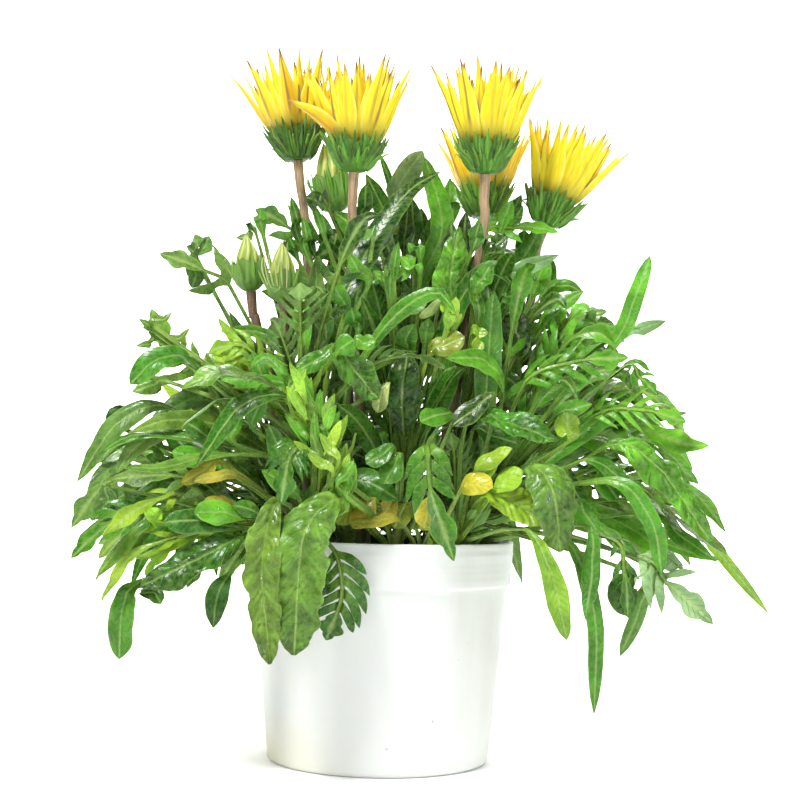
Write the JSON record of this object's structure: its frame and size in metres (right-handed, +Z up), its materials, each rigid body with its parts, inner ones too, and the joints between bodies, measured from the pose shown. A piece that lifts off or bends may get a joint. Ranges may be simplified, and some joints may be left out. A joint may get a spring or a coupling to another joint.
{
  "type": "potted gazania",
  "caption": "Potted gazania: open yellow flower heads and buds on tan stalks over a spreading mass of plain and lobed green leaves, in a thin white plastic nursery pot.",
  "frame": {"origin": "centre of the underside of the pot's floor, which stands on the ground", "axes": "+Z up along the pot's axis, -Y towards the viewer of the picture, +X to that viewer's right"},
  "size_m": [0.3661, 0.261, 0.3833],
  "materials": {
    "pot": "satin, faintly scuffed, yellowed low on one side",
    "soil": "dark, crumbly and rough",
    "stalk": "matt, tan, faintly ribbed",
    "cup": "satin green, slightly hairy",
    "ray": "satin yellow with a dark stripe on the back",
    "bud": "satin pale yellow",
    "leaf": "semi-gloss green above, paler and matt below",
    "old_leaf": "matt, yellowed"
  },
  "bodies": {
    "root": {"pot": "pot", "soil": "soil", "stalk_a": "stalk", "stalk_b": "stalk", "stalk_c": "stalk", "stalk_d": "stalk", "stalk_e": "stalk", "stalk_f": "stalk", "stalk_g": "stalk", "stalk_h": "stalk", "cup_a": "cup", "rays_a": "ray", "cup_b": "cup", "rays_b": "ray", "cup_c": "cup", "rays_c": "ray", "cup_d": "cup", "rays_d": "ray", "cup_e": "cup", "rays_e": "ray", "budcup_f": "cup", "budtip_f": "bud", "budcup_g": "cup", "budtip_g": "bud", "budcup_h": "cup", "budtip_h": "bud", "shoot_back": "leaf", "shoot_back_left": "leaf", "shoot_centre": "leaf", "shoot_front": "leaf", "shoot_front_left": "leaf", "shoot_front_right": "leaf", "shoot_left": "leaf", "shoot_left_back": "leaf", "shoot_left_low": "leaf", "shoot_left_top": "leaf", "shoot_right": "leaf", "shoot_right_back": "leaf", "shoot_right_low": "leaf", "shoot_top": "leaf", "shoot_top_right": "leaf", "shoot_young": "leaf", "shoot_old": "old_leaf"}
  },
  "joints": []
}
